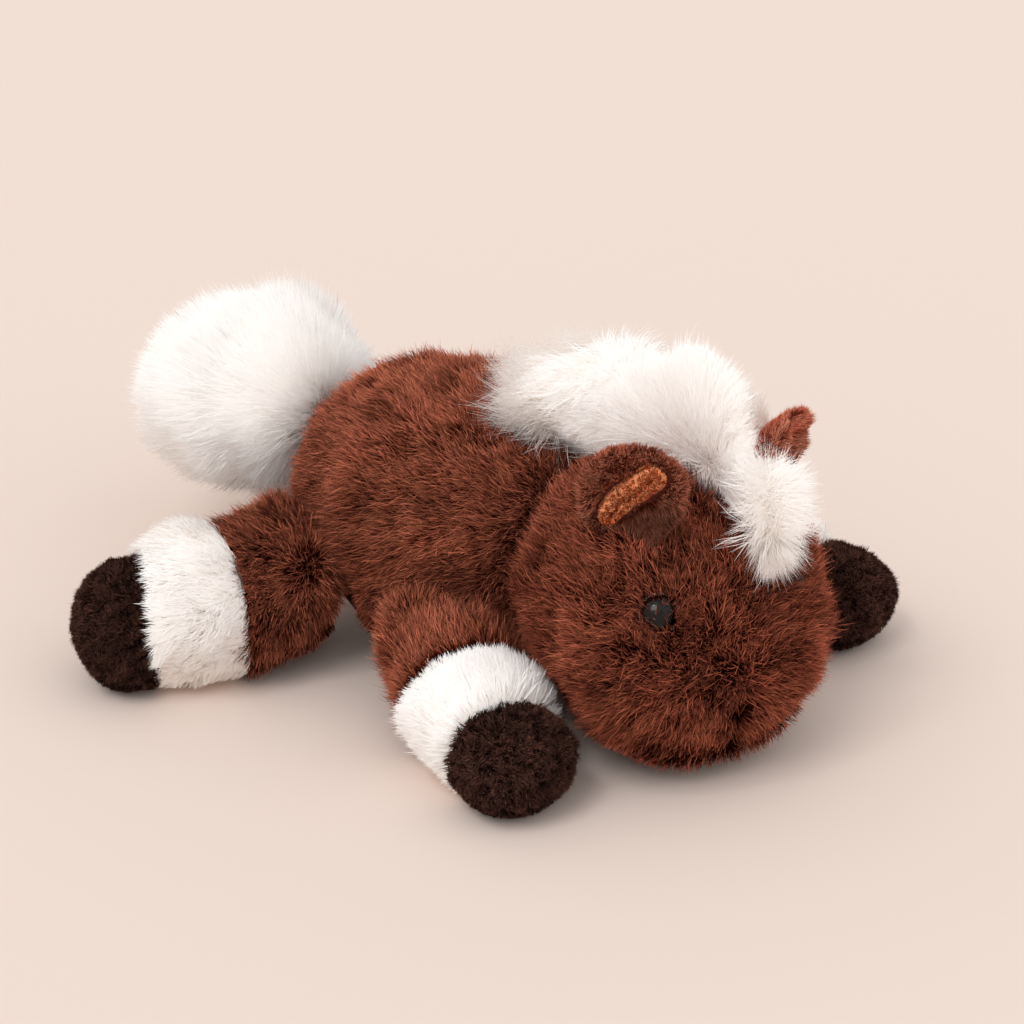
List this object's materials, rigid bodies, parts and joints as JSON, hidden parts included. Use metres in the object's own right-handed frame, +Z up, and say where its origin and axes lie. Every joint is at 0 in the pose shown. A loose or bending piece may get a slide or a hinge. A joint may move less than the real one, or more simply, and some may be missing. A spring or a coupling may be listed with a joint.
{
  "type": "plush horse",
  "caption": "Stuffed plush horse lying on its belly with splayed legs, long-pile mane and brush tail, sewn limbs that flex at their seams.",
  "frame": {"origin": "on the floor, at the middle of the belly's flat", "axes": "+X towards the head, +Y to the toy's left, +Z up"},
  "size_m": [0.2945, 0.2486, 0.1295],
  "materials": {
    "brown_plush": "reddish-brown pile",
    "white_plush": "white pile",
    "white_long_pile": "long white pile",
    "hoof_plush": "short dark brown pile",
    "ear_velour": "short orange-tan velour",
    "black_eye": "polished",
    "eye_washer": "moulded",
    "polyester_filling": "loose fibre"
  },
  "bodies": {
    "torso": {"torso_skin": "brown_plush", "torso_stuffing": "polyester_filling"},
    "head": {"head_skin": "brown_plush", "head_stuffing": "polyester_filling", "mane": "white_long_pile", "right_eye": "black_eye", "left_eye": "black_eye", "right_eye_washer": "eye_washer", "left_eye_washer": "eye_washer"},
    "right_ear": {"right_ear": "brown_plush", "right_ear_lining": "ear_velour"},
    "left_ear": {"left_ear": "brown_plush", "left_ear_lining": "ear_velour"},
    "tail": {"tail_base": "white_plush", "tail_fur": "white_long_pile"},
    "front_right_leg": {"front_right_leg_sleeve": "brown_plush", "front_right_sock": "white_plush", "front_right_hoof": "hoof_plush", "front_right_leg_stuffing": "polyester_filling"},
    "front_left_leg": {"front_left_leg_sleeve": "brown_plush", "front_left_sock": "white_plush", "front_left_hoof": "hoof_plush", "front_left_leg_stuffing": "polyester_filling"},
    "hind_right_leg": {"hind_right_leg_sleeve": "brown_plush", "hind_right_sock": "white_plush", "hind_right_hoof": "hoof_plush", "hind_right_leg_stuffing": "polyester_filling"},
    "hind_left_leg": {"hind_left_leg_sleeve": "brown_plush", "hind_left_sock": "white_plush", "hind_left_hoof": "hoof_plush", "hind_left_leg_stuffing": "polyester_filling"}
  },
  "joints": [
    {"name": "head_turn", "type": "hinge", "parent": "torso", "child": "head", "pos_m": [0.084, 0, 0.051], "axis": [0, 0, 1], "range_deg": [0, 25], "stiffness_Nm_per_rad": 0.05},
    {"name": "right_ear_fold", "type": "hinge", "parent": "head", "child": "right_ear", "pos_m": [0.0941, -0.03082, 0.08827], "axis": [0.7619, 0.5996, -0.2451], "range_deg": [-15, 15], "stiffness_Nm_per_rad": 0.004},
    {"name": "left_ear_fold", "type": "hinge", "parent": "head", "child": "left_ear", "pos_m": [0.11155, 0.01714, 0.08826], "axis": [-0.2044, 0.9784, 0.0318], "range_deg": [-15, 15], "stiffness_Nm_per_rad": 0.004},
    {"name": "tail_wag", "type": "hinge", "parent": "torso", "child": "tail", "pos_m": [-0.061, 0, 0.066], "axis": [0, 0, 1], "range_deg": [-25, 25], "stiffness_Nm_per_rad": 0.02},
    {"name": "front_right_leg_sweep", "type": "hinge", "parent": "torso", "child": "front_right_leg", "pos_m": [0.019, -0.0385, 0.0325], "axis": [0, 0, 1], "range_deg": [-20, 0], "stiffness_Nm_per_rad": 0.04},
    {"name": "front_left_leg_sweep", "type": "hinge", "parent": "torso", "child": "front_left_leg", "pos_m": [0.019, 0.0385, 0.0325], "axis": [0, 0, 1], "range_deg": [0, 20], "stiffness_Nm_per_rad": 0.04},
    {"name": "hind_right_leg_sweep", "type": "hinge", "parent": "torso", "child": "hind_right_leg", "pos_m": [-0.035, -0.0385, 0.0345], "axis": [0, 0, 1], "range_deg": [-15, 15], "stiffness_Nm_per_rad": 0.04},
    {"name": "hind_left_leg_sweep", "type": "hinge", "parent": "torso", "child": "hind_left_leg", "pos_m": [-0.035, 0.0385, 0.0345], "axis": [0, 0, 1], "range_deg": [-15, 15], "stiffness_Nm_per_rad": 0.04}
  ]
}
